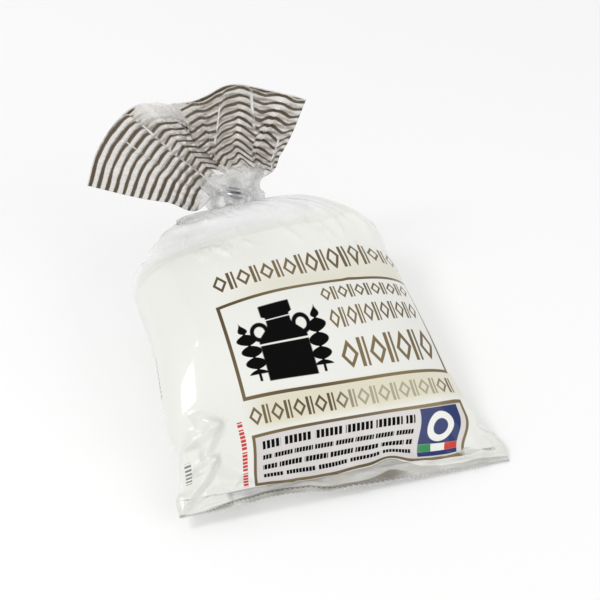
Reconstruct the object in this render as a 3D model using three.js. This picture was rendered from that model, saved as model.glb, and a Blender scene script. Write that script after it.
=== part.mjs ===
// A film bag of mozzarella in its milky water, lying on its back with the printed front up.
// The bag is one tube of film: welded flat along the bottom, filled, gathered into a neck by a
// metal clip, and flared above the clip into a fan. Millimetres, +Z up, the welded bottom end
// towards -Y and the neck towards +Y.
import * as THREE from "three";

// Film
const FILM_WIDTH = 140; // flat width of the tube, from corner to corner of the bottom weld
const WELD_LENGTH = 6; // flat welded strip along the bottom
const WELD_THICKNESS = 1.2;
const WELD_EDGE_HEIGHT = 4; // of its free edge above the table, in the middle
const WELD_CURL = { x: -28, width: 19, rise: 4 }; // where the free edge curls up
const FAN_THICKNESS = 1.8; // both layers of the fan, pressed together

// Filled body seen from the side: places on its upper and on its lower film line as [Y, Z],
// one pair for each section from the weld to the neck
const UPPER_LINE = [
  [WELD_LENGTH, 7],
  [17, 20.5],
  [31, 33],
  [48, 42.5],
  [69, 49],
  [90, 51.5],
  [107, 51.5],
  [117, 52],
  [121.8, 57.6],
];
const LOWER_LINE = [
  [WELD_LENGTH, 5.8],
  [14, 0.5],
  [31, -1.5],
  [52, -1.5],
  [76, -1.5],
  [100, -1],
  [121, 7],
  [131, 29],
  [128.2, 51.2],
];

// How the bag lies, as [share of the body's length from the weld, value]
const MIDDLE_X = [
  [0, 0],
  [0.2, -1],
  [0.7, -0.5],
  [0.88, 1.5],
  [1, -7],
]; // its middle line, to the right of the weld's
const DRAWN_LEFT = [
  [0, 2],
  [0.1, 5],
  [0.17, 4.5],
  [0.28, 0],
  [0.69, 0],
  [0.77, 9],
  [0.84, 13.5],
  [0.93, 15],
  [1, 0],
]; // how far creases draw its left edge in, at the full half width
const ROLL = [
  [0, -0.05],
  [0.4, -0.1],
  [0.85, -0.1],
  [1, 0],
]; // rise of the upper film to the right
const SKEW = [
  [0, -0.045],
  [0.5, -0.08],
  [0.85, -0.15],
  [1, 0],
]; // its right side is drawn towards the weld
const CREASED = [
  [0, 0],
  [0.18, 0.035],
  [0.45, 0],
  [1, 0],
]; // share of the film's width taken up by creases behind the weld

// Roundness of a section as [share of the body's length, power]: 2 is a pointed lens,
// 1 an ellipse and less than 1 a fuller form
const SECTION_POWER = [
  [0, 0.5],
  [0.06, 1.7],
  [0.3, 1],
  [0.5, 0.8],
  [0.9, 0.9],
  [1, 1],
];
const UNDERSIDE_POWER = 0.75; // factor under the widest line, where the bag lies flat

// Gathered end
const SHOULDER_FROM = 0.6; // share of the body's length where the film starts to gather
const SHOULDER_POWER = 2; // the higher, the blunter the shoulders
const PLEATS = 15;
const PLEAT_DEPTH = 1.8;
const NECK_RADIUS = 4.5;
const NECK_LENGTH = 9.6;
const NECK_TILT = Math.PI / 4; // of its axis, up from horizontal

// Fan above the neck: its top edge from left to right, measured from the neck's end
const FAN_EDGE = [
  [-60, 13, 4],
  [-54, 15, 20],
  [-42, 15, 36],
  [-33, 11, 43],
  [-22, 18, 34],
  [-12, -1, 49],
  [0, -1, 53],
  [17, 1, 45],
  [31, -7, 43],
];
const FAN_SPREAD = 0.4; // share of the fan's length in which the round neck becomes flat
const FAN_SWELL = 2; // how much thicker its root is than the neck, each way
const FAN_BULGE = 10; // how far its side edges bow out and down over the clip
const FAN_SIDES = [new THREE.Vector3(-0.35, 0, -0.94), new THREE.Vector3(0.83, 0, -0.56)];

// Clip: a wire bent once round the neck, its ends side by side at the front
const CLIP_WIRE = 2;
const CLIP_GAP = 0.3; // between the wire and the film
const CLIP_PITCH = 2.3;
const CLIP_TURNS = 1.22;
const CLIP_SLANT = 0.34; // drop along the neck for each step to the right

// Mesh fineness
const AROUND = 96;
const WELD_ROWS = 2;
const BODY_ROWS = 26;
const NECK_ROWS = 3;
const FAN_ROWS = 13;

const { clamp, lerp, smoothstep } = THREE.MathUtils;
const ringAngles = Array.from({ length: AROUND }, (_, i) => (2 * Math.PI * i) / AROUND);
const asCurve = (points) => new THREE.SplineCurve(points.map(([y, z]) => new THREE.Vector2(y, z)));
const upperCurve = asCurve(UPPER_LINE);
const lowerCurve = asCurve(LOWER_LINE);
const fanEdge = new THREE.CatmullRomCurve3(FAN_EDGE.map((point) => new THREE.Vector3(...point)));

// Value at x of a list of [x, value] pairs, eased between them
function eased(pairs, x) {
  const after = clamp(pairs.findIndex(([place]) => place >= x), 1, pairs.length - 1);
  const [[x0, v0], [x1, v1]] = [pairs[after - 1], pairs[after]];
  return lerp(v0, v1, smoothstep(x, x0, x1));
}

// One point of a level section of the body: share runs from the weld to the neck, angle round
// the section from its left corner over the top
function sectionPoint(share, angle, halfWidth) {
  const upper = upperCurve.getPoint(share);
  const lower = lowerCurve.getPoint(share);
  const rise = Math.sin(angle);
  const under = rise < 0 ? lerp(1, UNDERSIDE_POWER, smoothstep(share, 0, 0.3)) : 1;
  const height = Math.sign(rise) * Math.abs(rise) ** (eased(SECTION_POWER, share) * under);
  const y = (upper.x + lower.x) / 2 + (height * (upper.x - lower.x)) / 2;
  const z = (upper.y + lower.y) / 2 + (height * (upper.y - lower.y)) / 2;
  return new THREE.Vector3(-halfWidth * Math.cos(angle), y, z);
}

function sectionLength(share, halfWidth) {
  const points = ringAngles.map((angle) => sectionPoint(share, angle, halfWidth));
  return points.reduce((sum, point, i) => sum + point.distanceTo(points[(i + 1) % AROUND]), 0);
}

// The film doesn't stretch: the half width at which the section's outline is twice the flat width
function freeHalfWidth(share) {
  const outline = 2 * FILM_WIDTH * (1 - eased(CREASED, share));
  let [low, high] = [NECK_RADIUS, FILM_WIDTH / 2];
  for (let step = 0; step < 24; step += 1) {
    const middle = (low + high) / 2;
    if (sectionLength(share, middle) > outline) high = middle;
    else low = middle;
  }
  return (low + high) / 2;
}

function halfWidthAt(share) {
  const gathered = clamp((share - SHOULDER_FROM) / (1 - SHOULDER_FROM), 0, 1);
  const kept = (1 - gathered ** SHOULDER_POWER) ** (1 / SHOULDER_POWER);
  return lerp(NECK_RADIUS, freeHalfWidth(share), kept);
}

// Moves a point of a level section to where the bag, rolled and drawn askew, has it
function settle(point, share, angle) {
  const lifted = smoothstep(Math.sin(angle), -1, 0);
  point.x += (eased(DRAWN_LEFT, share) * Math.max(-point.x, 0)) / (FILM_WIDTH / 2);
  point.y += eased(SKEW, share) * point.x;
  point.z = Math.max(point.z + eased(ROLL, share) * point.x * lifted, 0);
  point.x += eased(MIDDLE_X, share);
  return point;
}

function bodyRing(share) {
  const halfWidth = halfWidthAt(share);
  const centre = sectionPoint(share, 0, 0);
  const gathered = smoothstep(share, SHOULDER_FROM + 0.06, 0.9) * (1 - smoothstep(share, 0.93, 1));
  return ringAngles.map((angle) => {
    const point = sectionPoint(share, angle, halfWidth);
    const outward = point.clone().sub(centre).normalize();
    point.addScaledVector(outward, PLEAT_DEPTH * gathered * Math.cos(PLEATS * angle));
    return settle(point, share, angle);
  });
}

// Flat welded strip, from its free edge to the start of the filled body
function weldRing(share) {
  const inner = sectionPoint(0, 0, 0);
  const y = lerp(0, inner.y, share);
  const z = lerp(WELD_EDGE_HEIGHT, inner.z, share);
  return ringAngles.map((angle) => {
    const rise = Math.sin(angle);
    const half = (Math.sign(rise) * Math.sqrt(Math.abs(rise)) * WELD_THICKNESS) / 2;
    const x = (-Math.cos(angle) * FILM_WIDTH) / 2;
    const curl = WELD_CURL.rise * Math.exp(-(((x - WELD_CURL.x) / WELD_CURL.width) ** 2)) * (1 - share);
    return settle(new THREE.Vector3(x, y, z + half + curl), 0, Math.PI / 2);
  });
}

const neckAxis = new THREE.Vector3(0, Math.cos(NECK_TILT), Math.sin(NECK_TILT));
const neckFront = new THREE.Vector3(0, -Math.sin(NECK_TILT), Math.cos(NECK_TILT));
const neckStart = settle(sectionPoint(1, 0, 0), 1, 0);
const neckEnd = neckStart.clone().addScaledVector(neckAxis, NECK_LENGTH);
const neckMiddle = neckStart.clone().lerp(neckEnd, 0.5);

function neckRing(share) {
  const centre = neckStart.clone().lerp(neckEnd, share);
  return ringAngles.map((angle) =>
    centre
      .clone()
      .add(new THREE.Vector3(-NECK_RADIUS * Math.cos(angle), 0, 0))
      .addScaledVector(neckFront, NECK_RADIUS * Math.sin(angle)),
  );
}

// Middle surface of the fan: place from left -1 to right 1, share of the way to its top edge
function fanPoint(place, share) {
  const edge = fanEdge.getPointAt(clamp((place + 1) / 2, 0, 1));
  const side = FAN_SIDES[place < 0 ? 0 : 1];
  const bulge = FAN_BULGE * Math.sin(Math.PI * clamp(share, 0, 1) ** 0.6) * place ** 2;
  return edge.multiplyScalar(share).addScaledVector(side, bulge).add(neckEnd);
}

function fanNormal(place, share) {
  const step = 0.01;
  const across = fanPoint(place + step, share).sub(fanPoint(place - step, share));
  const along = fanPoint(place, share + step).sub(fanPoint(place, share - step));
  return across.cross(along).normalize();
}

function fanRing(share) {
  const flat = smoothstep(share, 0, FAN_SPREAD);
  const swell = FAN_SWELL * Math.sin(Math.PI * clamp(share / FAN_SPREAD, 0, 1));
  const round = NECK_RADIUS * (1 - flat) + swell;
  return ringAngles.map((angle) => {
    const rise = Math.sin(angle);
    const place = -Math.cos(angle);
    const half = (Math.sign(rise) * Math.sqrt(Math.abs(rise)) * FAN_THICKNESS) / 2;
    return fanPoint(place, share)
      .add(new THREE.Vector3(round * place, 0, 0))
      .addScaledVector(neckFront, round * rise)
      .addScaledVector(fanNormal(place, share), half * flat);
  });
}

// Closed solid through rings of points; both ends are thin and are closed front to back
function solidThrough(rings) {
  const triangles = [];
  const corner = (ring, i) => ring * AROUND + (i % AROUND);
  for (let ring = 0; ring < rings.length - 1; ring += 1) {
    for (let i = 0; i < AROUND; i += 1) {
      const [a, b] = [corner(ring, i), corner(ring, i + 1)];
      const [c, d] = [corner(ring + 1, i), corner(ring + 1, i + 1)];
      triangles.push([a, b, c], [b, d, c]);
    }
  }
  const last = rings.length - 1;
  for (let i = 0; i < AROUND / 2; i += 1) {
    const [front, nextFront] = [i, i + 1];
    const [back, nextBack] = [AROUND - i, AROUND - i - 1];
    if (i > 0) {
      triangles.push([corner(0, front), corner(0, back), corner(0, nextFront)]);
      triangles.push([corner(last, front), corner(last, nextFront), corner(last, back)]);
    }
    if (nextFront < AROUND / 2) {
      triangles.push([corner(0, nextFront), corner(0, back), corner(0, nextBack)]);
      triangles.push([corner(last, nextFront), corner(last, nextBack), corner(last, back)]);
    }
  }
  const geometry = new THREE.BufferGeometry().setFromPoints(rings.flat());
  geometry.setIndex(triangles.flat());
  geometry.computeVertexNormals();
  return geometry;
}

// Shares of the way along a stretch of the bag, without its start where the last stretch ends
const steps = (count) => Array.from({ length: count }, (_, i) => (i + 1) / count);

function makeBag() {
  const rings = [
    weldRing(0),
    ...steps(WELD_ROWS).slice(0, -1).map(weldRing),
    bodyRing(0),
    ...steps(BODY_ROWS).map(bodyRing),
    ...steps(NECK_ROWS).map(neckRing),
    ...steps(FAN_ROWS).map((share) => fanRing(share ** 1.3)),
  ];
  const film = new THREE.MeshStandardMaterial({ color: 0xe8e7df, roughness: 0.35, metalness: 0 });
  const mesh = new THREE.Mesh(solidThrough(rings), film);
  mesh.name = "bag";
  return mesh;
}

class ClipPath extends THREE.Curve {
  getPoint(share, target = new THREE.Vector3()) {
    const turn = CLIP_TURNS * (share - 0.5);
    const angle = 2 * Math.PI * turn - Math.PI / 2;
    const radius = NECK_RADIUS + CLIP_GAP + CLIP_WIRE / 2;
    const along = CLIP_PITCH * turn - CLIP_SLANT * radius * Math.cos(angle);
    return target
      .copy(neckMiddle)
      .add(new THREE.Vector3(radius * Math.cos(angle), 0, 0))
      .addScaledVector(neckFront, radius * Math.sin(angle))
      .addScaledVector(neckAxis, along);
  }
}

function makeClip() {
  const wire = new THREE.Shape().absarc(0, 0, CLIP_WIRE / 2, 0, 2 * Math.PI);
  const geometry = new THREE.ExtrudeGeometry(wire, {
    curveSegments: 6,
    steps: 48,
    bevelEnabled: false,
    extrudePath: new ClipPath(),
  });
  const metal = new THREE.MeshStandardMaterial({ color: 0xb4b6b8, roughness: 0.35, metalness: 1 });
  const mesh = new THREE.Mesh(geometry, metal);
  mesh.name = "clip";
  return mesh;
}

const pack = new THREE.Group();
pack.add(makeBag(), makeClip());

// The origin lies under the middle of the whole pack's box
const box = new THREE.Box3().setFromObject(pack);
const middle = box.getCenter(new THREE.Vector3());
pack.position.set(-middle.x, -middle.y, -box.min.z);

const group = new THREE.Group();
group.add(pack);
export default group;
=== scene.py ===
"""A film bag of mozzarella in its milky water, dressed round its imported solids.

The bag lies on its back. Its film repeats the solid's form at a finer mesh and adds creases,
pleats and folds. Distances on the film are kept in UV maps in millimetres, and the print is drawn
by them.
"""

import math

import bpy
import numpy as np
from bpy.props import FloatProperty, FloatVectorProperty, IntProperty, PointerProperty
from mathutils import Matrix, Vector


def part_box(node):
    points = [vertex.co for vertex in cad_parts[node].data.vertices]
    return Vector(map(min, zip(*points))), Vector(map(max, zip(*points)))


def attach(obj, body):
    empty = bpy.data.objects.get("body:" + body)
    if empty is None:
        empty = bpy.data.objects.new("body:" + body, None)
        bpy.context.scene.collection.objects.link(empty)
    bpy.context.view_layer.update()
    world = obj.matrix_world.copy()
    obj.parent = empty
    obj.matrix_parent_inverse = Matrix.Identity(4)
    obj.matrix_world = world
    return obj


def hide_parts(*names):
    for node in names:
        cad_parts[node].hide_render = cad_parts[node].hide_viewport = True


bl_info = {
    "name": "Bagged mozzarella",
    "version": (1, 0, 0),
    "blender": (4, 5, 0),
    "location": "3D View > Sidebar > Bag",
    "description": "Film, print, contents, clip and stage of a clipped bag of mozzarella",
    "category": "Object",
}

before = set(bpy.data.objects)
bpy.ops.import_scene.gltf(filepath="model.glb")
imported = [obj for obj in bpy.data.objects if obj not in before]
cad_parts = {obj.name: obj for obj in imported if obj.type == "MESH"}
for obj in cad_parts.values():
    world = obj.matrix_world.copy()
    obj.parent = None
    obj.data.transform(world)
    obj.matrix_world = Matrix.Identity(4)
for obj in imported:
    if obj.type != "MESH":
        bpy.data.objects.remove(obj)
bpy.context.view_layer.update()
MM = 0.001

# ---- Form of the bag, millimetres, as in the solid --------------------------------------------

FILM_WIDTH = 140
WELD_LENGTH = 6
WELD_THICKNESS = 1.2
WELD_EDGE_HEIGHT = 4
WELD_CURL_X, WELD_CURL_WIDTH, WELD_CURL_RISE = -28, 19, 4
UPPER_LINE = np.array(
    [[WELD_LENGTH, 7], [17, 20.5], [31, 33], [48, 42.5], [69, 49]]
    + [[90, 51.5], [107, 51.5], [117, 52], [121.8, 57.6]]
)
LOWER_LINE = np.array(
    [[WELD_LENGTH, 5.8], [14, 0.5], [31, -1.5], [52, -1.5], [76, -1.5]]
    + [[100, -1], [121, 7], [131, 29], [128.2, 51.2]]
)
MIDDLE_X = [(0, 0), (0.2, -1), (0.7, -0.5), (0.88, 1.5), (1, -7)]
DRAWN_LEFT = [(0, 2), (0.1, 5), (0.17, 4.5), (0.28, 0), (0.69, 0), (0.77, 9), (0.84, 13.5)]
DRAWN_LEFT += [(0.93, 15), (1, 0)]
ROLL = [(0, -0.05), (0.4, -0.1), (0.85, -0.1), (1, 0)]
SKEW = [(0, -0.045), (0.5, -0.08), (0.85, -0.15), (1, 0)]
CREASED = [(0, 0), (0.18, 0.035), (0.45, 0), (1, 0)]
SECTION_POWER = [(0, 0.5), (0.06, 1.7), (0.3, 1), (0.5, 0.8), (0.9, 0.9), (1, 1)]
UNDERSIDE_POWER = 0.75
SHOULDER_FROM = 0.6
SHOULDER_POWER = 2
NECK_RADIUS = 4.5
NECK_LENGTH = 9.6
NECK_TILT = math.pi / 4
FAN_EDGE = np.array(
    [
        [-60, 13, 4],
        [-54, 15, 20],
        [-42, 15, 36],
        [-33, 11, 43],
        [-22, 18, 34],
        [-12, -1, 49],
        [0, -1, 53],
        [17, 1, 45],
        [31, -7, 43],
    ],
    float,
)
FAN_SPREAD = 0.4
FAN_SWELL = 2
FAN_BULGE = 10
FAN_THICKNESS = 1.8
FAN_LEFT_SIDE = np.array([-0.35, 0, -0.94])
FAN_RIGHT_SIDE = np.array([0.83, 0, -0.56])
SOLID_AROUND = 96  # points of the solid's section, by which its outline is measured
HALVINGS = 24  # halvings of the range in which the half width is sought

# ---- Finer form of the film, millimetres ------------------------------------------------------

WELD_ROWS, NECK_ROWS = 8, 10
FILM_UP_NECK = 0.55  # share of the neck up to which the body's film runs
CONTENTS_COLUMNS, CONTENTS_ROWS = 192, 90
CONTENTS_FROM, CONTENTS_TO = 0.07, 0.985  # shares of the body
CONTENTS_CLEARANCE = 0.7  # more than the film's creases push it in
FAN_COLUMNS, FAN_NECK_ROWS = 288, 8
FAN_DROOP, FAN_DROOP_SIDE = 6, np.array([0.35, 0, -0.94])  # of its lower left side, by the clip
FAN_PRINT_HALF = 60  # half of the fan's edge in its print's own distances
BACK_OF_FAN = 10  # added to the places of the fan's back film, so that it has none of the painted fold highlights
RUFF_COLUMNS, RUFF_ROWS = 512, 72
RUFF_FROM, RUFF_TO = -5.5, 9.5  # along the neck, from the clip
RUFF_RADIUS, RUFF_WAIST, RUFF_FLARE = 9.6, 2.6, 2.2
RUFF_AT_CLIP = 4.2  # radius at the window in which the clip shows
RUFF_FLATNESS = (1.15, 0.85)  # how wide and how deep it is against its radius

# ---- Print, mm in its own places: from the panel's left edge, and up from the weld ---------------

PANEL_LEFT = 31.6  # from the panel's left edge to the film's middle line
LOWER_FRAME, LOWER_RAIL = (0, 93, 0.6, 22.7), 1.25
UPPER_FRAME, UPPER_RAIL = (0, 93, 36.2, 78), 1.45
# Rows of lozenges and bars in gold: left, right, foot, top and pitch
GOLD_ROWS = [
    (1.5, 93, 83.8, 92.8, 10.4),
    (0.5, 92, 26.0, 33.4, 9.1),
    (44, 89, 67.6, 74.4, 8.0),
    (44, 89, 57.2, 64.2, 8.0),
    (44, 89.5, 42.0, 53.2, 12.6),
]
# Rows of small dark bars: foot, top, pitch and filled share, and the wider gaps' pitch and share
DARK_LEFT, DARK_RIGHT = 4, 69
DARK_ROWS = [
    (16.2, 19.4, 1.9, 0.7, 13, 0.12),
    (12.0, 13.8, 1.3, 0.8, 8.7, 0.1),
    (7.7, 9.7, 1.5, 0.8, 11, 0.1),
    (4.0, 5.6, 1.4, 0.8, 14, 0.1),
]
CHURN = (23, 42, 30)  # middle, foot and height
SPRIGS = [(9.5, 42.5, 25, -0.12), (36.5, 42.5, 25, 0.12)]  # middle, foot, height and lean
BADGE = (71.6, 89.4, 2.4, 21.2)
RING_MIDDLE, RING_OUTER, RING_INNER = (80.5, 13.8), 5.8, 3.2
BAND_FOOT, BAND_TOP, BAND_LEFT_SPLIT, BAND_RIGHT_SPLIT = 4.2, 7.2, 77.5, 83.5
# Upright rows of bars: foot, top, left, right, pitch and filled share, and the red one's gaps
RED_ROW = (1, 29, -4.7, -2.6, 1.5, 0.74, 9, 0.1)
SIDE_ROWS = [(52, 76, -38, -34, 2.4, 0.5), (10, 21, -29, -26.4, 1.9, 0.5)]
CLEAR_TINT, FAN_TINT = 0.985, 0.97  # light that bare film lets through
STRIPE_PITCH = 3.85

# ---- Small helpers -----------------------------------------------------------------------------


def ease(x, low, high):
    """Smooth step from 0 at low to 1 at high."""
    t = np.clip((x - low) / (high - low), 0, 1)
    return t * t * (3 - 2 * t)


def lerp(a, b, share):
    return a + (b - a) * share


def eased(pairs, x):
    """Value at x of a list of (x, value) pairs, eased between them."""
    after = next((i for i, (place, _) in enumerate(pairs) if place >= x), len(pairs) - 1)
    after = max(after, 1)
    (x0, v0), (x1, v1) = pairs[after - 1], pairs[after]
    return lerp(v0, v1, ease(x, x0, x1))


def line_at(points, share):
    """Point at a share of a uniform Catmull-Rom line."""
    last = len(points) - 1
    place = share * last
    i = min(int(place), last)
    w = place - i
    p0, p1 = points[max(i - 1, 0)], points[i]
    p2, p3 = points[min(i + 1, last)], points[min(i + 2, last)]
    v0, v1 = (p2 - p0) / 2, (p3 - p1) / 2
    return (2 * p1 - 2 * p2 + v0 + v1) * w**3 + (3 * p2 - 3 * p1 - 2 * v0 - v1) * w**2 + v0 * w + p1


def unit(vectors):
    return vectors / (np.linalg.norm(vectors, axis=-1, keepdims=True) + 1e-12)


def ripple(x, seed, count, low, high):
    """Sum of sines with seeded pitches and phases, between about -1 and 1."""
    draw = np.random.default_rng(seed)
    total = np.zeros_like(x, float)
    for _ in range(count):
        total += np.sin(x * draw.uniform(low, high) + draw.uniform(0, 2 * math.pi))
    return total / math.sqrt(count)


def ridged(x):
    """Sharp ridges, a period of 1: 1 on each ridge and -1 half way between."""
    return 1 - 4 * np.abs((x % 1) - 0.5)


# ---- Body of the bag ---------------------------------------------------------------------------


def section(share, angle, half_width):
    """Level section of the body; angle runs from its left corner over the top."""
    upper, lower = line_at(UPPER_LINE, share), line_at(LOWER_LINE, share)
    rise = np.sin(angle)
    under = np.where(rise < 0, lerp(1, UNDERSIDE_POWER, ease(share, 0, 0.3)), 1)
    height = np.sign(rise) * np.abs(rise) ** (eased(SECTION_POWER, share) * under)
    y = (upper[0] + lower[0]) / 2 + height * (upper[0] - lower[0]) / 2
    z = (upper[1] + lower[1]) / 2 + height * (upper[1] - lower[1]) / 2
    return np.stack([-half_width * np.cos(angle), y, z], -1)


def free_half_width(share):
    """Half width at which the section's outline is the film's, less its creases."""
    outline = 2 * FILM_WIDTH * (1 - eased(CREASED, share))
    angle = np.arange(SOLID_AROUND) * 2 * math.pi / SOLID_AROUND
    low, high = NECK_RADIUS, FILM_WIDTH / 2
    for _ in range(HALVINGS):
        middle = (low + high) / 2
        ring = section(share, angle, middle)
        length = np.linalg.norm(ring - np.roll(ring, 1, 0), axis=1).sum()
        low, high = (low, middle) if length > outline else (middle, high)
    return (low + high) / 2


def half_width_at(share):
    gathered = np.clip((share - SHOULDER_FROM) / (1 - SHOULDER_FROM), 0, 1)
    kept = (1 - gathered**SHOULDER_POWER) ** (1 / SHOULDER_POWER)
    return lerp(NECK_RADIUS, free_half_width(share), kept)


def settle(points, share, angle):
    """Rolls and skews a level section as the bag lies."""
    lifted = ease(np.sin(angle), -1, 0)
    points[..., 0] += eased(DRAWN_LEFT, share) * np.maximum(-points[..., 0], 0) / (FILM_WIDTH / 2)
    x = points[..., 0].copy()
    points[..., 1] += eased(SKEW, share) * x
    points[..., 2] = np.maximum(points[..., 2] + eased(ROLL, share) * x * lifted, 0)
    points[..., 0] += eased(MIDDLE_X, share)
    return points


def body_ring(share, angle):
    return settle(section(share, angle, half_width_at(share)), share, angle)


def weld_ring(share, angle):
    """Flat welded strip, from its free edge to the start of the filled body."""
    inner = section(0, np.zeros(1), 0)[0]
    rise = np.sin(angle)
    half = np.sign(rise) * np.sqrt(np.abs(rise)) * WELD_THICKNESS / 2
    x = -np.cos(angle) * FILM_WIDTH / 2
    curl = WELD_CURL_RISE * np.exp(-(((x - WELD_CURL_X) / WELD_CURL_WIDTH) ** 2)) * (1 - share)
    y = np.full_like(x, lerp(0, inner[1], share))
    z = lerp(WELD_EDGE_HEIGHT, inner[2], share) + half + curl
    return settle(np.stack([x, y, z], -1), 0, np.full_like(x, math.pi / 2))


NECK_AXIS = np.array([0, math.cos(NECK_TILT), math.sin(NECK_TILT)])
NECK_FRONT = np.array([0, -math.sin(NECK_TILT), math.cos(NECK_TILT)])
NECK_START = settle(section(1, np.zeros(1), 0), 1, np.zeros(1))[0]
NECK_END = NECK_START + NECK_AXIS * NECK_LENGTH


def neck_ring(share, angle):
    centre = lerp(NECK_START, NECK_END, share)
    across = -NECK_RADIUS * np.cos(angle)[:, None] * np.array([1, 0, 0])
    return centre + across + NECK_RADIUS * np.sin(angle)[:, None] * NECK_FRONT


# ---- Fan above the neck ------------------------------------------------------------------------


def fan_edge_line():
    """Top edge of the fan as a centripetal Catmull-Rom curve, with the length along it."""
    points = np.vstack([2 * FAN_EDGE[0] - FAN_EDGE[1], FAN_EDGE, 2 * FAN_EDGE[-1] - FAN_EDGE[-2]])
    samples = []
    w = np.linspace(0, 1, 60, endpoint=False)[:, None]
    for x0, x1, x2, x3 in zip(points, points[1:], points[2:], points[3:]):
        d0, d1, d2 = (math.sqrt(np.linalg.norm(b - a)) for a, b in ((x0, x1), (x1, x2), (x2, x3)))
        t1 = ((x1 - x0) / d0 - (x2 - x0) / (d0 + d1) + (x2 - x1) / d1) * d1
        t2 = ((x2 - x1) / d1 - (x3 - x1) / (d1 + d2) + (x3 - x2) / d2) * d1
        square, cube = 3 * x2 - 3 * x1 - 2 * t1 - t2, 2 * x1 - 2 * x2 + t1 + t2
        samples.append(x1 + t1 * w + square * w**2 + cube * w**3)
    line = np.vstack(samples + [FAN_EDGE[-1:]])
    length = np.concatenate([[0], np.cumsum(np.linalg.norm(np.diff(line, axis=0), axis=1))])
    return line, length / length[-1]


EDGE_POINTS, EDGE_SHARES = fan_edge_line()


def fan_edge_at(place):
    share = np.clip((place + 1) / 2, 0, 1)
    return np.stack([np.interp(share, EDGE_SHARES, EDGE_POINTS[:, k]) for k in range(3)], -1)


def fan_point(place, share):
    """Middle surface of the fan: place from left -1 to right 1, share of the way to its edge."""
    side = np.where(place[..., None] < 0, FAN_LEFT_SIDE, FAN_RIGHT_SIDE)
    bulge = FAN_BULGE * np.sin(math.pi * np.clip(share, 0, 1) ** 0.6) * place**2
    return fan_edge_at(place) * share[..., None] + side * bulge[..., None] + NECK_END


def fan_normal(place, share):
    step = 0.02
    across = fan_point(place + step, share) - fan_point(place - step, share)
    along = fan_point(place, share + step) - fan_point(place, np.maximum(share - step, 0))
    return unit(np.cross(across, along))


# ---- Meshes ------------------------------------------------------------------------------------


def bag_shift():
    """From the bag's own measures to the frame, where the origin is under the box's middle."""
    low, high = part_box("bag")
    angle = np.arange(SOLID_AROUND) * 2 * math.pi / SOLID_AROUND
    front, left = weld_ring(0, angle)[:, 1].min(), weld_ring(0, angle)[:, 0].min()
    return np.array([low.x / MM - left, low.y / MM - front, 0])


def grid_normals(grid):
    """Outward normals of a grid of points, rows from weld to neck and columns left over top."""
    across = np.roll(grid, -1, 1) - np.roll(grid, 1, 1)
    along = np.gradient(grid, axis=0)
    return unit(np.cross(across, along))


def closed(grid):
    """A grid with its first column again at the end."""
    return np.concatenate([grid, grid[:, :1]], 1)


def mesh_from_grid(name, grid, uv, caps=(False, False)):
    """Tube of quads through a (rows, columns, 3) grid, closed round; uv has one more column."""
    rows, columns = grid.shape[:2]
    r, c = np.meshgrid(np.arange(rows - 1), np.arange(columns), indexing="ij")
    after = (c + 1) % columns
    here, above = r * columns, (r + 1) * columns
    quads = np.stack([here + c, here + after, above + after, above + c], -1)
    faces = quads.reshape(-1, 4).tolist()
    coords = [uv[r, c], uv[r, c + 1], uv[r + 1, c + 1], uv[r + 1, c]]
    loops = np.stack(coords, 2).reshape(-1, 2)
    points = (grid + bag_shift()) * MM
    vertices = points.reshape(-1, 3).tolist()
    cap_uv = []
    for wanted, row, flip in ((caps[0], 0, True), (caps[1], rows - 1, False)):
        if not wanted:
            continue
        vertices.append(points[row].mean(0).tolist())
        middle = len(vertices) - 1
        for i in range(columns):
            a, b = row * columns + i, row * columns + (i + 1) % columns
            faces.append([b, a, middle] if flip else [a, b, middle])
            cap_uv += [uv[row, i]] * 3
    mesh = bpy.data.meshes.new(name)
    mesh.from_pydata(vertices, [], faces)
    layer = mesh.uv_layers.new(name="film")
    loops = np.vstack([loops, np.array(cap_uv)]) if cap_uv else loops
    layer.data.foreach_set("uv", loops.astype(np.float32).ravel())
    mesh.shade_smooth()
    piece = bpy.data.objects.new(name, mesh)
    bpy.context.scene.collection.objects.link(piece)
    return piece


def add_uv(piece, name, uv):
    """Another UV map on a piece from mesh_from_grid without caps."""
    r, c = np.meshgrid(np.arange(uv.shape[0] - 1), np.arange(uv.shape[1] - 1), indexing="ij")
    corners = np.stack([uv[r, c], uv[r, c + 1], uv[r + 1, c + 1], uv[r + 1, c]], 2)
    piece.data.uv_layers.new(name=name).data.foreach_set("uv", corners.astype(np.float32).ravel())


def ring_angles(columns):
    """Angles round the bag from the middle of its back, over the left corner and the front."""
    return -math.pi / 2 + np.arange(columns) * 2 * math.pi / columns


def arc_lengths(grid):
    """Distance across each row from its front line, positive to the right, one more column."""
    steps = np.linalg.norm(np.diff(closed(grid), axis=1), axis=2)
    total = np.concatenate([np.zeros((len(grid), 1)), np.cumsum(steps, 1)], 1)
    return total - total[:, [grid.shape[1] // 2]]


def print_places(across, along):
    """Film distances turned to the print's own: the front panel is 0 to 93 mm wide, and level.

    The film is pulled crooked as it is filled, so the print drops to the right, in a bow near the
    weld and in a straight line near the neck. Near the weld it is also pushed up in a hump.
    """
    up = np.clip((along + 1.5) / 32, 0, 1)
    bowed = 8.5 * up * (np.maximum(across + 10, 0) / 71) ** 2
    bowed = bowed - 1.9 * ease(across, 24, 50) * (1 - up)
    straight = lerp(0.165, 0.24, ease(along, 92, 106)) * (across + 31.4)
    drop = np.clip(lerp(bowed, straight, ease(along, 45, 80)), -12, 17)
    near_weld = 1 - ease(along, 0, 24)
    wide = 1 + 0.05 * near_weld
    hump = 2.6 * np.exp(-(((across - 21) / 6) ** 2)) * (1 - ease(along, 2, 12))
    wave = 0.5 * np.sin(across / 7.5) * (1 - ease(along, 2, 10))
    return (across + PANEL_LEFT + 3.9 * near_weld) * wide, along - drop - hump - wave


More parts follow.
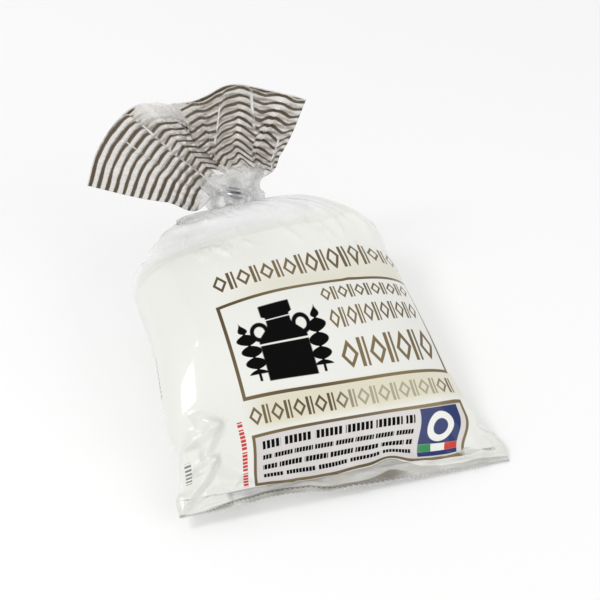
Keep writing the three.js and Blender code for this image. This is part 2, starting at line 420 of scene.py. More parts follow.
# Creases with flat facets on both sides: (across, along) of both ends, height, and the facets'
# widths to the left and to the right of the line from the first end to the second, all mm. Most
# are the star of creases by the left corner of the weld.
FACETS = [
    ((-71, -9), (-44.5, 21.5), 2.8, 7, 3.2),
    ((-45.5, 18.5), (-60, 13), 1.8, 2.5, 5),
    ((-62, 26.5), (-38.7, 31.4), 2.2, 5, 3),
    ((-55, 38), (-40.7, 29.6), 1.7, 3, 4),
    ((-40.5, 33.2), (-54, 19), 2.0, 3, 5),
    ((-54.5, 23), (-45.5, 16), 1.5, 3, 3),
    ((-50, 21), (-34, 2), 1.6, 5, 6),
    ((-67, 4), (-59, 28), 1.4, 5, 4),
    ((-64, -5), (-40, 5.5), 1.5, 4, 5),
    ((70, -4), (63, 18), 1.2, 3, 4),
    ((62, 16), (68, 31), 1.0, 3, 3),
    ((37, 115), (25.4, 80.6), 0.6, 5, 4),
    ((-24, 112), (-31, 103), 1.3, 2, 4),
    ((-24, 112), (-17, 103), 1.0, 4, 2),
]
FACET_TAPER = 1.6  # how steeply a facet's crease rises from its ends
# Soft creases: (across, along) of both ends, height and half width, all mm
CREASES = [
    ((64, 2), (69, 12), 1.0, 1.3),
    ((24, 27), (58, 33), 0.8, 2.6),
    ((-44, 104), (-42, 66), 0.7, 3.2),
    ((14, 6), (26, 3.5), 1.3, 2.2),
    ((26, 3.5), (34, 0.5), 0.9, 1.5),
    ((36, 5), (46, 2), 0.9, 1.8),
    ((-12, 4), (4, 2.5), 0.8, 2.0),
    ((-30, 3), (-20, 1), 0.8, 1.6),
    ((6, 122), (14, 112), 0.9, 1.4),
    ((24, 124), (30, 114), 0.9, 1.4),
    ((14, -0.6), (44, -1.6), 0.7, 0.9),
    ((20, 2.0), (36, 1.6), 0.5, 0.8),
    ((30, -2.6), (66, -3.8), 0.6, 0.8),
    ((38, -3.6), (60, -2.8), 0.6, 0.7),
    ((-6, -1.5), (24, -2.5), 0.5, 0.8),
    ((-44, 0.5), (-14, -1), 0.5, 1.0),
]
CREASES_BELOW_CLIP, CREASES_BY_WELD = 28, 36
SOFT_CREASE_SCALE = 1.4


def small_creases():
    """Short creases scattered over the bare film below the clip and along the weld, seeded."""
    draw = np.random.default_rng(31)
    creases = []
    for number in range(CREASES_BELOW_CLIP + CREASES_BY_WELD):
        if number < CREASES_BELOW_CLIP:
            x, y = draw.uniform(-62, 66), draw.uniform(110, 130)
            turn, half = draw.uniform(0.9, 2.2), draw.uniform(1.5, 4)
        else:
            x = draw.uniform(-24, 66)
            y = draw.uniform(-5.5, 0.5 if x < 38 else -2.4)
            turn, half = draw.uniform(-0.35, 0.35), draw.uniform(1.5, 5)
        dx, dy = half * math.cos(turn), half * math.sin(turn)
        rise, width = draw.uniform(0.3, 0.8), draw.uniform(0.6, 1.1)
        creases.append(((x - dx, y - dy), (x + dx, y + dy), rise, width))
    return creases


def crease_run(start, end):
    """Length and direction of a crease."""
    dx, dy = end[0] - start[0], end[1] - start[1]
    length = math.hypot(dx, dy)
    return length, dx / length, dy / length


def crease_height(across, along):
    """Height of the creases at each place on the film."""
    height = np.zeros_like(across)
    for (x0, y0), (x1, y1), rise, left, right in FACETS:
        length, ux, uy = crease_run((x0, y0), (x1, y1))
        run = ((across - x0) * ux + (along - y0) * uy) / length
        away = (along - y0) * ux - (across - x0) * uy
        taper = np.clip(FACET_TAPER * (1 - np.abs(2 * run - 1)), 0, 1)
        height += rise * np.maximum(taper - np.abs(away) / np.where(away > 0, left, right), 0)
    for (x0, y0), (x1, y1), rise, width in CREASES + small_creases():
        dx, dy = x1 - x0, y1 - y0
        t = np.clip(((across - x0) * dx + (along - y0) * dy) / (dx * dx + dy * dy), 0, 1)
        away = np.hypot(across - x0 - t * dx, along - y0 - t * dy)
        swell = 0.35 + 0.65 * np.sin(math.pi * (0.15 + 0.7 * t))
        height += SOFT_CREASE_SCALE * rise * swell * np.exp(-away / width)
    return height


def film_body_grid(columns, body_rows, weld_rows, neck_rows):
    """Points of the film from the weld's serrated edge to the middle of the clip.

    The second result is each row's place: -1 to 0 over the weld, 0 to 1 over the body, then 1.5.
    """
    angle = ring_angles(columns)
    shares = np.arange(1, body_rows + 1) / body_rows
    rings = [weld_ring(s, angle) for s in np.arange(weld_rows) / weld_rows]
    rings.append(body_ring(0, angle))
    rings += [body_ring(s, angle) for s in shares]
    rings += [neck_ring(s, angle) for s in FILM_UP_NECK * np.arange(1, neck_rows + 1) / neck_rows]
    grid = np.array(rings)
    weld = np.arange(weld_rows) / weld_rows - 1
    return grid, np.concatenate([weld, [0], shares, np.full(neck_rows, 1.5)])


def add_wrinkles(grid, place, across, along):
    """Pushes the film out and in along its normals: creases, seal waves, pleats to the neck."""
    angle = ring_angles(grid.shape[1])[None]
    share = place[:, None]
    front = ease(np.sin(angle), -0.2, 0.2)
    height = crease_height(across, along) * front
    sides = 1 - 0.5 * ease(np.abs(np.cos(angle)), 0.93, 1)
    seal = 0.55 * ripple(across, 3, 6, 0.2, 0.7) * ease(share, -1.3, 0)
    height += seal * (1 - ease(share, 0.04, 0.14)) * sides
    gathered = ease(share, 0.66, 0.95) * (1 - ease(share, 0.97, 1.02))
    turn = angle / (2 * math.pi)
    pleats = 0.5 * np.cos(2 * math.pi * (11 * turn + 0.35 * np.sin(angle * 3)))
    pleats += 0.3 * ridged(23 * turn + 0.5 * np.sin(2 * angle + 1))
    fine = 0.4 * ridged(34 * turn + 0.6 * np.sin(5 * angle))
    fine = fine + 0.25 * ripple(angle * 9 + along / 5, 8, 5, 0.7, 1.6)
    height += gathered * (pleats + ease(share, 0.8, 0.97) * fine)
    height += ease(share, 0.95, 1.0) * 0.3 * ridged(36 * turn + 0.3 * np.sin(4 * angle))
    soft = ripple(across + 0.4 * along, 5, 5, 0.04, 0.12)
    soft = soft * ripple(along - 0.2 * across, 6, 5, 0.03, 0.1)
    height += 0.45 * soft * ease(share, 0.06, 0.25) * (1 - ease(share, 0.85, 1))
    lifted = grid + grid_normals(grid) * height[..., None]
    curl = 1.6 * ease(-across, 2, 16) * (1 - ease(-across, 46, 64)) * (1 - ease(share, -1, 0))
    lifted[..., 2] += curl
    lifted[..., 2] = np.maximum(lifted[..., 2], 0)
    return lifted


# ---- Shaders -----------------------------------------------------------------------------------


class Value:
    """A number socket of a material. Arithmetic on it adds Math nodes."""

    def __init__(self, finish, socket):
        self.finish = finish
        self.socket = socket

    def math(self, operation, *others):
        inputs = {i: v for i, v in enumerate((self, *others))}
        return self.finish.node("ShaderNodeMath", {"operation": operation}, inputs).value()

    def __add__(self, other):
        return self.math("ADD", other)

    def __sub__(self, other):
        return self.math("SUBTRACT", other)

    def __rsub__(self, other):
        return (self * -1) + other

    def __mul__(self, other):
        return self.math("MULTIPLY", other)

    def __truediv__(self, other):
        return self.math("DIVIDE", other)

    __radd__ = __add__
    __rmul__ = __mul__

    def fraction(self):
        return self.math("FRACT")

    def absolute(self):
        return self.math("ABSOLUTE")

    def greatest(self, other):
        return self.math("MAXIMUM", other)

    def least(self, other):
        return self.math("MINIMUM", other)

    def power(self, other):
        return self.math("POWER", other)

    def step(self, low, high):
        """Smooth step from 0 at low to 1 at high; low may be above high."""
        settings = {"interpolation_type": "SMOOTHSTEP"}
        inputs = {"Value": self, "From Min": low, "From Max": high}
        return self.finish.node("ShaderNodeMapRange", settings, inputs).value()

    def inside(self, low, high, soft=0.25):
        """1 between low and high."""
        half = soft / 2
        return self.step(low - half, low + half) * self.step(high + half, high - half)


class Made:
    """A node that has been made, with its outputs at hand."""

    def __init__(self, finish, node):
        self.finish = finish
        self.node = node

    def value(self, name=0):
        return Value(self.finish, self.node.outputs[name])

    def out(self, name=0):
        return self.node.outputs[name]


class Finish:
    """A material under construction."""

    def __init__(self, name):
        self.material = bpy.data.materials.new(name)
        self.material.use_nodes = True
        self.tree = self.material.node_tree
        self.tree.nodes.clear()

    def node(self, kind, settings=None, inputs=None):
        """A node of a kind, its settings first and then its sockets' values or links."""
        made = self.tree.nodes.new(kind)
        for name, value in (settings or {}).items():
            setattr(made, name, value)
        for name, value in (inputs or {}).items():
            if isinstance(value, Value):
                self.tree.links.new(value.socket, made.inputs[name])
            elif isinstance(value, bpy.types.NodeSocket):
                self.tree.links.new(value, made.inputs[name])
            else:
                made.inputs[name].default_value = value
        return Made(self, made)

    def blend(self, share, first, second):
        """Colour between two by a share; each is a colour of the settings or a socket."""
        settings, inputs = {"data_type": "RGBA"}, {0: share}
        for name, colour in ((6, first), (7, second)):
            inputs[name] = colour if isinstance(colour, bpy.types.NodeSocket) else rgba(colour)
        return self.node("ShaderNodeMix", settings, inputs).out(2)

    def film(self, name="film"):
        """Distances on the film by one of its UV maps, mm: to the right and along."""
        uv = self.node("ShaderNodeUVMap", {"uv_map": name})
        parts = self.node("ShaderNodeSeparateXYZ", {}, {0: uv.out()})
        return parts.value(0), parts.value(1)

    def place(self):
        return self.node("ShaderNodeTexCoord").out("Object")

    def noise(self, scale, detail=3.0, roughness=0.5, vector=None):
        inputs = {"Scale": scale, "Detail": detail, "Roughness": roughness}
        inputs["Vector"] = self.place() if vector is None else vector
        return self.node("ShaderNodeTexNoise", {}, inputs).value(0)

    def stretched(self, x, y, z):
        """Object place with each axis scaled."""
        inputs = {"Vector": self.place(), "Scale": (x, y, z)}
        return self.node("ShaderNodeMapping", {}, inputs).out()

    def bump(self, height, distance, strength=1.0):
        inputs = {"Height": height, "Distance": distance, "Strength": strength}
        return self.node("ShaderNodeBump", {}, inputs).out()

    def principled(self, inputs):
        return self.node("ShaderNodeBsdfPrincipled", {}, inputs)

    def see_through(self, cover, skin, tint):
        """Material of a film that is clear where its cover is 0."""
        clear = self.node("ShaderNodeBsdfTransparent", {}, {"Color": (tint, tint, tint, 1)})
        sockets = {0: cover, 1: clear.out(), 2: skin.out()}
        return self.finish(self.node("ShaderNodeMixShader", {}, sockets).out())

    def finish(self, surface):
        self.node("ShaderNodeOutputMaterial", {}, {"Surface": surface})
        return self.material


def greatest(values):
    """Greatest of several Values."""
    top = values[0]
    for value in values[1:]:
        top = top.greatest(value)
    return top


def rgba(colour):
    return (*colour[:3], 1.0)


def rail(x, y, x0, x1, y0, y1, width):
    """Outline of a rectangle, a line of a width inside it."""
    outer = x.inside(x0, x1) * y.inside(y0, y1)
    inner = x.inside(x0 + width, x1 - width) * y.inside(y0 + width, y1 - width)
    return outer * (1 - inner)


def bars(x, y, x0, x1, y0, y1, pitch, filled, gap_pitch=None, gap=0.2):
    """Row of upright bars in a rectangle, with wider gaps between groups."""
    row = x.inside(x0, x1) * y.inside(y0, y1)
    row = row * (x / pitch).fraction().step(filled + 0.04, filled - 0.04)
    if gap_pitch:
        gaps = (x / gap_pitch).fraction().step(1 - gap - 0.02, 1 - gap + 0.02)
        row = row * (1 - gaps)
    return row


def ornament(x, y, x0, x1, y0, y1, pitch):
    """Row of hollow lozenges with two upright bars between each pair."""
    tall = y1 - y0
    row = x.inside(x0, x1) * y.inside(y0, y1)
    along = ((x - x0) / pitch).fraction() * pitch
    up = ((y - (y0 + y1) / 2) / (tall / 2)).absolute()
    side = ((along - pitch * 0.33) / (pitch * 0.3)).absolute()
    shape = side + up
    lozenge = shape.step(1.03, 0.97) * (1 - shape.step(0.6, 0.54))
    first = (along - pitch * 0.74).absolute().step(pitch * 0.075, pitch * 0.055)
    second = (along - pitch * 0.92).absolute().step(pitch * 0.05, pitch * 0.035)
    return row * lozenge.greatest(first).greatest(second)


def disc(x, y, cx, cy, radius, soft=0.3):
    across, up = x - cx, y - cy
    far = (across * across + up * up).power(0.5)
    return far.step(radius + soft / 2, radius - soft / 2)


def churn(x, y, cx, base, size):
    """Milk churn seen from the side: round shoulders, a narrow neck, a lid and two handles."""
    h = (y - base) / size
    half = 0.34 - 0.17 * h.step(0.52, 0.74) + 0.05 * h.step(0.82, 0.85)
    side = ((x - cx) / size).absolute()
    body = (side - half).step(0.012, -0.012)
    body = body * h.inside(0, 1, 0.02)
    band = h.inside(0.475, 0.5, 0.01).greatest(h.inside(0.785, 0.8, 0.01))
    ring = disc(side, h, 0.3, 0.66, 0.13, 0.02) - disc(side, h, 0.3, 0.66, 0.075, 0.02)
    return (body * (1 - band)).greatest(ring)


def leaves(x, y, cx, base, size, lean):
    """Sprig of leaves on a stem."""
    up = (y - base) / size
    side = (x - cx) / size - lean * up * up
    stem = side.absolute().step(0.03, 0.012) * up.inside(0, 0.95, 0.02)
    turn = (up * 5).fraction()
    leaf_width = 0.17 * (turn * (1 - turn) * 4).power(0.8) * up.step(1.02, 0.7)
    leaf = (side.absolute() - leaf_width).step(0.012, -0.012) * up.inside(0.12, 1, 0.02)
    return stem.greatest(leaf)


def facet_height(x, y):
    """Height of the facets' creases for a bump, mm."""
    total = None
    for (x0, y0), (x1, y1), rise, left, right in FACETS:
        length, ux, uy = crease_run((x0, y0), (x1, y1))
        run = (x * ux + y * uy - (x0 * ux + y0 * uy)) / length
        away = y * ux - x * uy - (y0 * ux - x0 * uy)
        taper = (FACET_TAPER - (run * 2 - 1).absolute() * FACET_TAPER).greatest(0).least(1)
        side = (away / left).greatest(away / -right)
        crease = (taper - side).greatest(0) * rise
        total = crease if total is None else total + crease
    return total


def printed_film_finish(colours):
    """White, beige and gold print on film, clear at the weld, the corners and the neck."""
    f = Finish("printed_film")
    u, v = f.film()
    tone = f.noise(18, 3)
    streaks = f.noise(1, 4, 0.6, f.stretched(90, 420, 300))
    sheen = ((u / 11 + v / 17).math("SINE") * 0.5 + 0.5) * 0.5
    shine = (u / UPPER_FRAME[1]).step(0, 1) * 0.3 + sheen + tone * 0.15
    gold = f.blend(shine, colours.gold_dark, colours.gold_light)

    # white panel, softly uneven, with painted light: lighter where it slopes back to the neck, as
    # the top of the bag catches more light
    paper = f.blend(tone.step(0.35, 0.7), colours.panel, colours.panel_cool)
    paper = f.blend(v.step(74, 88) * u.step(-8, 12), paper, colours.panel_painted_light)
    # beige bands between the frames and under the headline, pale at the left end
    between = v.step(21.5, 27) * v.step(39, 35) * u.step(-4, 12) * (1 - 0.5 * u.step(72, 96))
    above = v.step(76, 79) * v.step(96, 80) * u.step(-6, 30) * 0.62
    colour = f.blend(between.greatest(above).least(1) * 0.95, paper, colours.beige)
    left, right, foot, top = LOWER_FRAME
    colour = f.blend(u.inside(left, right) * v.inside(foot, top), colour, colours.label)

    # two frames, and rows of lozenges and bars; the lower row is pale where it catches the light
    lines = greatest([rail(u, v, *LOWER_FRAME, LOWER_RAIL), rail(u, v, *UPPER_FRAME, UPPER_RAIL)])
    glare = v.inside(24, 35, 2) * u.step(34, 50) * u.step(90, 78) * 0.65
    gold = f.blend(glare, gold, colours.gold_pale)
    rows = [ornament(u, v, *row) for row in GOLD_ROWS]
    colour = f.blend(greatest([lines, *rows]), colour, gold)

    # black churn between two sprigs, and small dark rows in the lower frame
    dark = [churn(u, v, *CHURN)]
    dark += [leaves(u, v, *sprig) for sprig in SPRIGS]
    dark += [bars(u, v, DARK_LEFT, DARK_RIGHT, *row) for row in DARK_ROWS]
    dark = greatest(dark).least(1)
    colour = f.blend(dark, colour, colours.black)

    # badge: blue field, white ring, three-colour band under it
    left, right, foot, top = BADGE
    field = u.inside(left, right) * v.inside(foot, top)
    band = field * v.inside(BAND_FOOT, BAND_TOP)
    for share, ink in (
        (field, colours.blue),
        (disc(u, v, *RING_MIDDLE, RING_OUTER), colours.panel),
        (disc(u, v, *RING_MIDDLE, RING_INNER), colours.blue),
        (band, colours.panel),
        (band * u.step(BAND_LEFT_SPLIT + 0.1, BAND_LEFT_SPLIT - 0.1), colours.green),
        (band * u.step(BAND_RIGHT_SPLIT - 0.1, BAND_RIGHT_SPLIT + 0.1), colours.red),
    ):
        colour = f.blend(share, colour, ink)
    # upright red row by the lower frame, small dark rows on the left side
    red = bars(v, u, *RED_ROW)
    colour = f.blend(red, colour, colours.red)
    side = greatest([bars(v, u, *row) for row in SIDE_ROWS])
    colour = f.blend(side * 0.75, colour, colours.black)

    # where the film is clear: past the panel's top edge, at the weld and at the corners
    ear = u.step(-9, -14)
    lower = v + u.step(60, 78) * 2.6
    panel = v.step(118, 109) * lower.step(-0.2, 0.6).greatest(ear)
    corner = ((v - 2) / 17).step(0, 1).greatest(ear)
    out_left, out_right = (u + 14).step(-18, 2), (107 - u).step(-18, 2)
    filled = corner.greatest(out_left * out_right)
    ink = panel * (0.55 + 0.45 * filled)
    ink = ink.greatest(greatest([lines, dark, field, red]).least(1) * panel)
    gloss = f.node("ShaderNodeLayerWeight", {}, {"Blend": 0.32}).value("Fresnel")
    weld = v.step(0.6, -0.6) * (1 - ear)
    pressed = weld * (u + 2).step(0, 24) * (120 - u).step(0, 14)
    over_contents = v.step(100, 112) * v.step(137, 124)
    haze = 0.4 + over_contents * 0.46 + streaks * 0.12
    seal = weld * (0.3 + streaks * 0.75) * u.step(125, 85)
    cover = greatest([ink, haze + gloss * 0.5, seal])
    bare = f.blend(pressed * streaks.step(0.3, 0.62), colours.clear, colours.weld)
    colour = f.blend(panel.step(0.6, 0.1), colour, bare)
    # a dark line along the weld's serrated edge over its left and middle: painted shade where the
    # film meets the floor
    edge = v.step(-4.4, -5.2) * u.step(-24, -12) * u.step(72, 56)
    colour = f.blend(edge * 0.8, colour, colours.gold_dark)

    wide = f.noise(1, 4, 0.55, f.stretched(160, 60, 160))
    fine = f.noise(420, 2)
    near_neck = v.step(92, 128)
    near_weld = v.step(6, -1) * 1.5
    across, along = f.film("place")
    facets = facet_height(across, along) * 0.7
    weld_streaks = f.noise(1, 4, 0.65, f.stretched(60, 900, 500)) * v.step(3, -1) * 1.3
    crinkle = wide * (0.25 + near_neck * 1.8) + streaks * near_weld + fine * 0.06
    crinkle = crinkle + facets + weld_streaks
    inputs = {
        "Base Color": colour,
        "Roughness": 0.22 + ink * 0.2,
        "Coat Weight": 0.45,
        "Coat Roughness": 0.07,
        "Specular IOR Level": 0.25,
        "Normal": f.bump(crinkle, 0.0011, 0.6),
    }
    skin = f.principled(inputs)
    matt = {"Base Color": rgba(colours.black), "Roughness": 0.5, "Specular IOR Level": 0.02}
    black = f.principled(matt)
    skin = f.node("ShaderNodeMixShader", {}, {0: dark, 1: skin.out(), 2: black.out()})
    return f.see_through(cover.least(1), skin, CLEAR_TINT)


# Painted highlights along the fan's sharp folds: places at its edge and root, half width, and the
# square roots of the shares of the way to the edge between which they show
FOLD_HIGHLIGHTS = [
    (-0.395, -0.56, 0.014, 0.2, 0.97),
    (-0.59, -0.8, 0.008, 0.72, 0.93),
    (0.44, -0.1, 0.012, 0.35, 0.98),
    (0.64, 0.76, 0.016, 0.8, 0.98),
    (0.9, 0.97, 0.012, 0.5, 0.8),
    (0.12, -0.2, 0.012, 0.2, 0.5),
    (0.3, 0.6, 0.012, 0.15, 0.4),
    (-0.1, -0.4, 0.012, 0.15, 0.4),
]


def striped_film_finish(colours):
    """Clear film with brown stripes along its edge, none near the clip."""
    f = Finish("striped_film")
    u, v = f.film()  # u along the edge, v distance from the edge
    wobble = (f.noise(26, 2) - 0.5) * 0.22 + (f.noise(190, 3, 0.7) - 0.5) * 0.2
    line = (v / STRIPE_PITCH + wobble + 0.12).fraction()
    thin = (f.noise(90, 2) - 0.5) * 0.22
    stripe = (line - 0.28 - thin).step(-0.06, 0.06) * (line - 0.68 + thin).step(0.06, -0.06)
    reach, place = f.film("root")  # distance from the clip, and place from left -1 to right 1
    printed = reach.step(8, 11)
    stripe = stripe * printed
    # a patch by the top edge left unprinted, and made whiter than the film as a painted highlight
    bare_patch_and_highlight = u.inside(-23, 6, 3) * v.step(11, 7) * 0.85
    stripe = stripe * (1 - bare_patch_and_highlight)
    tone = f.noise(40, 3)
    brown = f.blend(tone, colours.stripe_dark, colours.stripe_light)
    # the film between the stripes turns to a darker copy of itself in noise patches: painted shade
    # of its crumples; the same noise also thickens the film's haze
    mottle_and_painted_shade = f.noise(1, 4, 0.65, f.stretched(130, 130, 230)).step(0.34, 0.66)
    gap = f.blend(mottle_and_painted_shade, colours.fan_gap_painted_shade, colours.fan_gap)
    colour = f.blend(stripe, gap, brown)
    # painted highlights along the film's sharp folds, broken up by noise; the bare patch is painted
    # white with them
    share = (reach / (reach + v)).power(0.5)
    broken = f.noise(210, 2).step(0.36, 0.55)
    white = []
    for at_edge, at_root, width, low, high in FOLD_HIGHLIGHTS:
        middle = share * (at_edge - at_root) + at_root
        line = (place - middle).absolute().step(width, width * 0.3)
        white.append(line * share.inside(low, high, 0.05))
    white = greatest(white) * broken
    colour = f.blend(white.greatest(bare_patch_and_highlight), colour, colours.fold_highlight)
    gloss = f.node("ShaderNodeLayerWeight", {}, {"Blend": 0.35}).value("Fresnel")
    haze = 0.32 + mottle_and_painted_shade * 0.28
    haze = haze + bare_patch_and_highlight * 0.1 - 0.25 * (1 - printed)
    cover = (stripe * 0.97).greatest(haze + gloss * 0.5)
    cover = cover.greatest(white)
    crinkle = f.noise(1, 4, 0.6, f.stretched(120, 120, 60)) + f.noise(260, 3, 0.6) * 0.3
    inputs = {
        "Base Color": colour,
        "Roughness": 0.2 + stripe * 0.12,
        "Coat Weight": 0.35,
        "Coat Roughness": 0.1,
        "Specular IOR Level": 0.35,
        "Normal": f.bump(crinkle, 0.002, 0.9),
    }
    skin = f.principled(inputs)
    through = f.node("ShaderNodeBsdfTranslucent", {}, {"Color": colour})
    skin = f.node("ShaderNodeMixShader", {}, {0: 0.25, 1: skin.out(), 2: through.out()})
    return f.see_through(cover.least(1), skin, FAN_TINT)


def clear_film_finish(colours):
    """Bunched clear film, a little milky where it lies in several layers."""
    f = Finish("clear_film")
    folds = f.noise(1, 4, 0.6, f.stretched(260, 260, 140))
    gloss = f.node("ShaderNodeLayerWeight", {}, {"Blend": 0.4}).value("Facing")
    cover = (0.2 + folds * 0.3 + gloss * 0.5).least(1)
    inputs = {
        "Base Color": f.blend(folds, colours.clear, colours.clear_thick),
        "Roughness": 0.16 + folds * 0.12,
        "Coat Weight": 0.5,
        "Coat Roughness": 0.08,
        "IOR": 1.5,
        "Normal": f.bump(folds + f.noise(420, 3, 0.6) * 0.3, 0.0016, 0.9),
    }
    skin = f.principled(inputs)
    return f.see_through(cover, skin, CLEAR_TINT)


def milk_finish(colours):
    """White cheese and its milky water behind the film."""
    f = Finish("milk_and_cheese")
    soft = f.noise(30, 3)
    colour = f.blend(soft, colours.milk, colours.milk_shade)
    inputs = {
        "Base Color": colour,
        "Roughness": 0.3 + soft * 0.15,
        "Subsurface Weight": 0.25,
        "Subsurface Radius": (1.0, 0.9, 0.75),
        "Subsurface Scale": 0.004,
        "Normal": f.bump(f.noise(45, 2), 0.001, 0.5),
    }
    return f.finish(f.principled(inputs).out())


def clip_finish(colours):
    """Drawn aluminium wire, satin, with fine scratches."""
    f = Finish("clip_aluminium")
    scratch = f.noise(1, 4, 0.6, f.stretched(900, 2600, 900))
    wear = f.noise(700, 3)
    colour = f.blend(wear, colours.metal, colours.metal_worn)
    inputs = {
        "Base Color": colour,
        "Metallic": 1.0,
        "Roughness": 0.25 + scratch * 0.2,
        "Normal": f.bump(scratch, 0.00008, 0.4),
    }
    return f.finish(f.principled(inputs).out())


def floor_finish(colours):
    f = Finish("studio_floor")
    tone = f.noise(3, 2)
    colour = f.blend(tone, colours.floor, colours.floor_shade)
    inputs = {"Base Color": colour, "Roughness": 0.6}
    inputs.update({"Emission Color": (1, 1, 1, 1), "Emission Strength": 0.13})
    return f.finish(f.principled(inputs).out())


# ---- Settings ----------------------------------------------------------------------------------


def paint(name, description, default):
    return FloatVectorProperty(
        name=name, description=description, default=default, subtype="COLOR", size=3, min=0, max=1
    )


class BagFilmSettings(bpy.types.PropertyGroup):
    """Sizes of the film's mesh and what fills it."""

    columns: IntProperty(name="Columns", description="Points round the film", default=384, min=48)
    body_rows: IntProperty(
        name="Body rows", description="Rows from weld to neck", default=170, min=20
    )
    fan_rows: IntProperty(name="Fan rows", description="Rows from neck to edge", default=90, min=10)
    tooth_depth: FloatProperty(
        name="Tooth depth",
        description="Depth of the weld's serrated edge",
        default=0.0009,
        unit="LENGTH",
    )
    film_gap: FloatProperty(
        name="Film gap", description="Between film and contents", default=0.0007, unit="LENGTH"
    )
    fold_height: FloatProperty(
        name="Fold height", description="Height of the fan's folds", default=0.003, unit="LENGTH"
    )


class BagColourSettings(bpy.types.PropertyGroup):
    """Colours of print, contents, clip and floor."""

    panel: paint("Panel", "White print", (0.82, 0.82, 0.78))
    panel_cool: paint("Cool panel", "White print in its cooler places", (0.79, 0.795, 0.755))
    # painted light: the white print made lighter where it faces up towards the neck
    panel_painted_light: paint("Far panel", "White print that slopes back to the neck", (0.86, 0.86, 0.82))
    beige: paint("Beige", "Bands behind the rows", (0.7, 0.665, 0.51))
    label: paint("Label", "Ground of the lower frame", (0.66, 0.635, 0.62))
    gold_dark: paint("Dark gold", "Frames at the left", (0.068, 0.044, 0.012))
    gold_light: paint("Light gold", "Frames at the right", (0.24, 0.175, 0.075))
    gold_pale: paint("Pale gold", "The lower row where it catches the light", (0.5, 0.47, 0.36))
    black: paint("Black", "Churn and small rows", (0.004, 0.004, 0.004))
    blue: paint("Blue", "Badge", (0.005, 0.02, 0.125))
    green: paint("Green", "Badge band", (0.03, 0.25, 0.08))
    red: paint("Red", "Badge band and bar", (0.58, 0.035, 0.025))
    clear: paint("Clear film", "Unprinted film", (0.88, 0.885, 0.88))
    clear_thick: paint("Layered film", "Unprinted film in many layers", (0.82, 0.825, 0.825))
    weld: paint("Weld", "Welded strip", (0.62, 0.60, 0.54))
    stripe_dark: paint("Dark stripe", "Stripes of the fan", (0.085, 0.054, 0.024))
    stripe_light: paint("Light stripe", "Stripes where they are thin", (0.13, 0.1, 0.062))
    fan_gap: paint("Fan gap", "Film between the stripes", (0.98, 0.95, 0.915))
    # painted shade: the film between the stripes, darker as where crumples shade it
    fan_gap_painted_shade: paint("Fan gap shade", "The same where layers lie double", (0.9, 0.86, 0.81))
    # painted highlight: near-white along the fan's sharp folds and on its bare patch, standing in
    # for light
    fold_highlight: paint("Whitened folds", "Film along its sharp folds", (0.9, 0.89, 0.86))
    milk: paint("Milk", "Milky water", (0.84, 0.845, 0.81))
    milk_shade: paint("Milk shade", "Cheese behind it", (0.81, 0.815, 0.78))
    metal: paint("Metal", "Clip", (0.5, 0.51, 0.52))
    metal_worn: paint("Worn metal", "Clip where it is rubbed", (0.3, 0.31, 0.32))
    floor: paint("Floor", "Studio floor", (0.84, 0.84, 0.84))
    floor_shade: paint("Floor shade", "Studio floor, uneven", (0.83, 0.83, 0.83))


class BagStageSettings(bpy.types.PropertyGroup):
    """Camera and lights."""

    azimuth: FloatProperty(
        name="Azimuth", description="Camera to the left", default=math.radians(18), subtype="ANGLE"
    )
    elevation: FloatProperty(
        name="Elevation",
        description="Camera above level",
        default=math.radians(43.5),
        subtype="ANGLE",
    )
    distance: FloatProperty(
        name="Distance", description="Camera to bag", default=0.9, unit="LENGTH"
    )
    target: FloatVectorProperty(
        name="Target",
        description="What the camera looks at",
        default=(0.0052, 0.0047, 0.0368),
        subtype="XYZ",
    )
    lens: FloatProperty(
        name="Lens", description="Focal length in mm on a 36 mm sensor", default=129.06
    )
    key_power: FloatProperty(name="Key light", description="Power in watts", default=2.7)
    fill_power: FloatProperty(name="Fill light", description="Power in watts", default=2.1)
    sky: FloatProperty(name="Sky", description="Strength of the light from all round", default=0.76)


# ---- Operators ---------------------------------------------------------------------------------


class OBJECT_OT_bag_film(bpy.types.Operator):
    """Make the printed film of the body, from the weld to the clip"""

    bl_idname = "object.bag_film"
    bl_label = "Printed film"

    def execute(self, context):
        settings, colours = context.scene.bag_film, context.scene.bag_colours
        columns = settings.columns
        grid, place = film_body_grid(columns, settings.body_rows, WELD_ROWS, NECK_ROWS)
        across = arc_lengths(grid)
        middle = columns // 2
        steps = np.linalg.norm(np.diff(grid[:, middle], axis=0), axis=1)
        along = np.concatenate([[0], np.cumsum(steps)])
        along = (along - along[WELD_ROWS])[:, None] + np.zeros((1, columns + 1))
        wrinkled = add_wrinkles(grid, place, across[:, :-1], along[:, :-1])
        teeth = np.where(np.arange(columns) % 2 == 0, 0.0, settings.tooth_depth / MM)
        wrinkled[0, :, 1] += teeth
        s, t = print_places(across, along)
        film = mesh_from_grid("film_body", wrinkled, np.stack([s, t], -1))
        add_uv(film, "place", np.stack([across, along], -1))
        film.data.materials.append(printed_film_finish(colours))
        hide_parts("bag")
        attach(film, "root")
        return {"FINISHED"}


